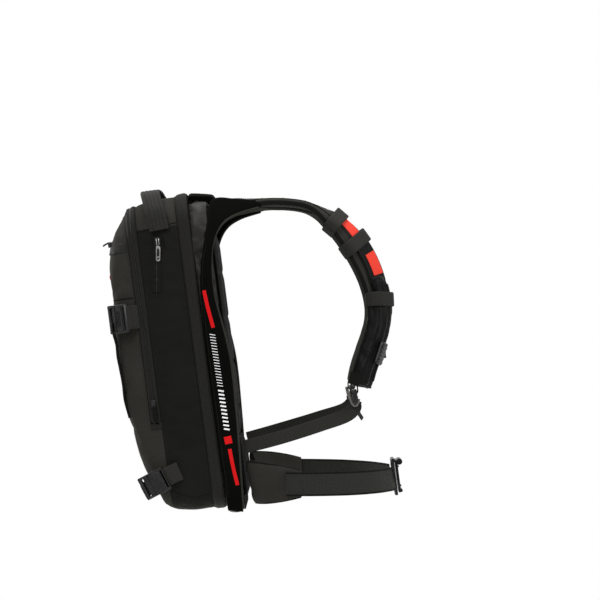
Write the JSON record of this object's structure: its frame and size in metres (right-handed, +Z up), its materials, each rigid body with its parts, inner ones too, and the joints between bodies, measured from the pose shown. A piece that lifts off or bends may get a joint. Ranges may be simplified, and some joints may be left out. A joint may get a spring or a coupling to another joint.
{
  "type": "avalanche airbag backpack",
  "caption": "Panel-opening snow backpack with an airbag compartment, carry straps, shoulder straps with a trigger pouch, and a hip belt with a hook buckle.",
  "frame": {"origin": "on the flat face of the back pad, where the pack rests against the wearer's back", "axes": "+X forward from the wearer's back, +Y to the wearer's left, +Z up along the back panel"},
  "size_m": [0.4685, 0.34, 0.5486],
  "materials": {
    "fabric": "matte woven pack cloth",
    "nylon": "thin coated nylon with a soft sheen",
    "webbing": "ribbed webbing",
    "foam": "foam pad under knitted cloth",
    "red_fabric": "woven red tape",
    "airbag_nylon": "thin coated nylon",
    "plastic": "moulded, fine texture",
    "metal": "satin, worn at the edges"
  },
  "bodies": {
    "pack": {"main_shell": "fabric", "front_lower": "fabric", "main_zip_tape": "webbing", "rear_zip_band": "fabric", "airbag_compartment": "nylon", "folded_airbag": "airbag_nylon", "frame_sheet": "plastic", "frame_stay_right": "metal", "frame_stay_left": "metal", "back_panel": "fabric", "back_pad": "foam", "lumbar_pad": "foam", "harness_yoke": "fabric", "grab_handle": "webbing", "shoulder_strap_right": "fabric", "shoulder_strap_left": "fabric", "lower_webbing_right": "webbing", "lower_webbing_left": "webbing", "trigger_pouch": "fabric", "red_patch": "red_fabric", "strap_keeper_upper": "webbing", "strap_keeper_middle": "webbing", "strap_keeper_lower": "webbing", "lower_strap_socket": "plastic", "lower_strap_webbing": "webbing", "sternum_socket": "plastic", "sternum_webbing_right": "webbing", "blower_housing": "plastic", "blower_motor": "metal", "air_duct": "plastic", "capacitor_bank": "metal", "control_box": "plastic", "inner_divider": "nylon"},
    "front_flap": {"front_panel": "fabric", "front_zip_tape": "webbing", "upper_strap_webbing": "webbing", "upper_strap_socket": "plastic", "upper_strap_tab": "webbing"},
    "upper_plug": {"upper_strap_plug": "plastic"},
    "front_slider": {"front_zip_slider": "metal"},
    "main_slider": {"main_zip_slider": "metal"},
    "side_slider": {"side_zip_slider": "metal"},
    "side_pull": {"side_zip_pull": "metal"},
    "fan": {"impeller": "plastic"},
    "button": {"power_button": "plastic"},
    "trigger": {"trigger_handle": "plastic"},
    "lock_right": {"ladder_lock_right": "plastic"},
    "lock_left": {"ladder_lock_left": "plastic"},
    "hip_right": {"hip_wing_right": "fabric", "hip_webbing_right": "webbing", "hip_buckle_frame": "metal"},
    "hip_left": {"hip_wing_left": "fabric", "hip_webbing_left": "webbing", "hip_buckle_hook": "metal"},
    "chest_plug": {"sternum_plug": "plastic", "sternum_webbing_left": "webbing"},
    "lower_plug": {"lower_strap_plug": "plastic"}
  },
  "joints": [
    {"name": "front_panel_fold", "type": "hinge", "parent": "pack", "child": "front_flap", "pos_m": [-0.177, 0, -0.098], "axis": [0, -1, 0], "range_deg": [0, 100]},
    {"name": "upper_strap_release", "type": "slide", "parent": "front_flap", "child": "upper_plug", "axis": [-0.7507, 0.6606, 0], "range_m": [0, 0.018]},
    {"name": "front_zip_slide", "type": "slide", "parent": "front_flap", "child": "front_slider", "axis": [0, 1, 0], "range_m": [0, 0.1]},
    {"name": "main_zip_slide", "type": "slide", "parent": "pack", "child": "main_slider", "axis": [0, 0, 1], "range_m": [0, 0.1]},
    {"name": "side_zip_slide", "type": "slide", "parent": "pack", "child": "side_slider", "axis": [-0.14, 0, -0.9901], "range_m": [0, 0.07]},
    {"name": "side_pull_swing", "type": "hinge", "parent": "side_slider", "child": "side_pull", "pos_m": [-0.092, -0.1498, 0.188], "axis": [-1, 0, 0], "range_deg": [0, 110]},
    {"name": "impeller_spin", "type": "hinge", "parent": "pack", "child": "fan", "pos_m": [-0.075, 0, 0.12], "axis": [1, 0, 0], "continuous": true},
    {"name": "power_button_press", "type": "slide", "parent": "pack", "child": "button", "axis": [1, 0, 0], "range_m": [0, 0.003], "stiffness_N_per_m": 400},
    {"name": "trigger_pull", "type": "slide", "parent": "pack", "child": "trigger", "axis": [0.5, 0, -0.866], "range_m": [0, 0.05]},
    {"name": "ladder_lock_right_tilt", "type": "hinge", "parent": "pack", "child": "lock_right", "pos_m": [0.19, -0.108, -0.084], "axis": [0, -1, 0], "range_deg": [0, 25]},
    {"name": "ladder_lock_left_tilt", "type": "hinge", "parent": "pack", "child": "lock_left", "pos_m": [0.19, 0.108, -0.084], "axis": [0, -1, 0], "range_deg": [0, 25]},
    {"name": "hip_belt_left_swing", "type": "hinge", "parent": "pack", "child": "hip_left", "pos_m": [0.005, 0.116, -0.208], "axis": [0, 0, 1], "range_deg": [0, 35]},
    {"name": "hip_belt_right_swing", "type": "hinge", "parent": "pack", "child": "hip_right", "pos_m": [0.005, -0.116, -0.208], "axis": [0, 0, -1], "range_deg": [0, 35]},
    {"name": "sternum_release", "type": "slide", "parent": "pack", "child": "chest_plug", "axis": [0, 1, 0], "range_m": [0, 0.018]},
    {"name": "lower_strap_release", "type": "slide", "parent": "pack", "child": "lower_plug", "axis": [-0.9176, 0.1971, -0.3452], "range_m": [0, 0.018]}
  ],
  "couplings": [
    {"joint": "hip_belt_right_swing", "follows": "hip_belt_left_swing", "ratio": 1}
  ]
}
